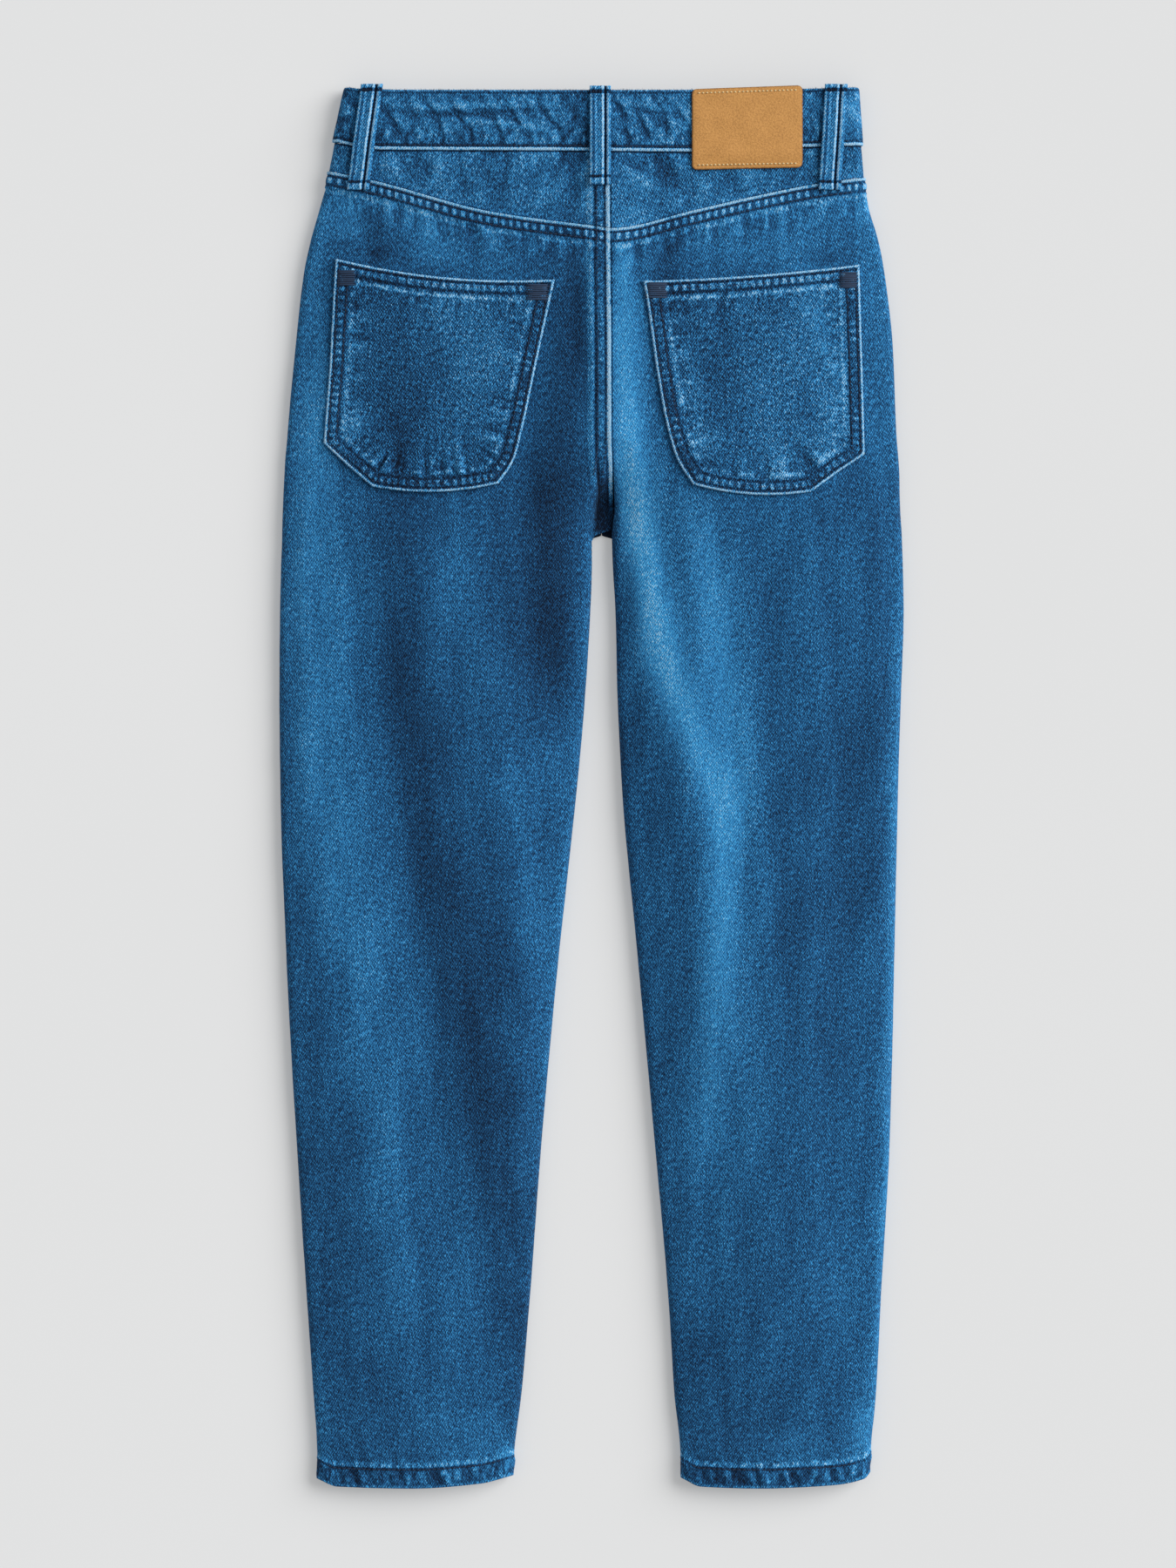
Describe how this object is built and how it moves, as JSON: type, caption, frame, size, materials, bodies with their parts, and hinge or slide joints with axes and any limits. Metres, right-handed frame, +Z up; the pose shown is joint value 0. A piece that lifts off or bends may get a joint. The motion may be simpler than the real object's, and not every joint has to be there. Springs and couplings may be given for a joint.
{
  "type": "straight jeans laid flat",
  "caption": "Child's blue denim jeans with a tapered straight leg, laid flat with the back up, with patch pockets and belt loops.",
  "frame": {"origin": "on the floor, in the middle of the garment's outline", "axes": "+Z up out of the floor and through the garment's back, +Y towards the waist, +X towards the wearer's right leg"},
  "size_m": [0.3734, 0.8381, 0.0246],
  "materials": {
    "denim": "washed blue twill denim, matt, paler on seam edges",
    "loop_denim": "washed blue twill denim, matt, pale worn folds",
    "leather": "smooth tan leather, satin",
    "button_metal": "antique brass, satin"
  },
  "bodies": {
    "root": {"back_panel_left": "denim", "back_panel_right": "denim", "front_panel_left": "denim", "front_panel_right": "denim", "yoke_left": "denim", "yoke_right": "denim", "waistband": "denim", "back_pocket_left": "denim", "back_pocket_right": "denim", "belt_loop_side_left": "loop_denim", "belt_loop_centre_back": "loop_denim", "belt_loop_side_right": "loop_denim", "belt_loop_front_left": "loop_denim", "belt_loop_front_right": "loop_denim", "leather_patch": "leather", "waist_button": "button_metal"}
  },
  "joints": []
}
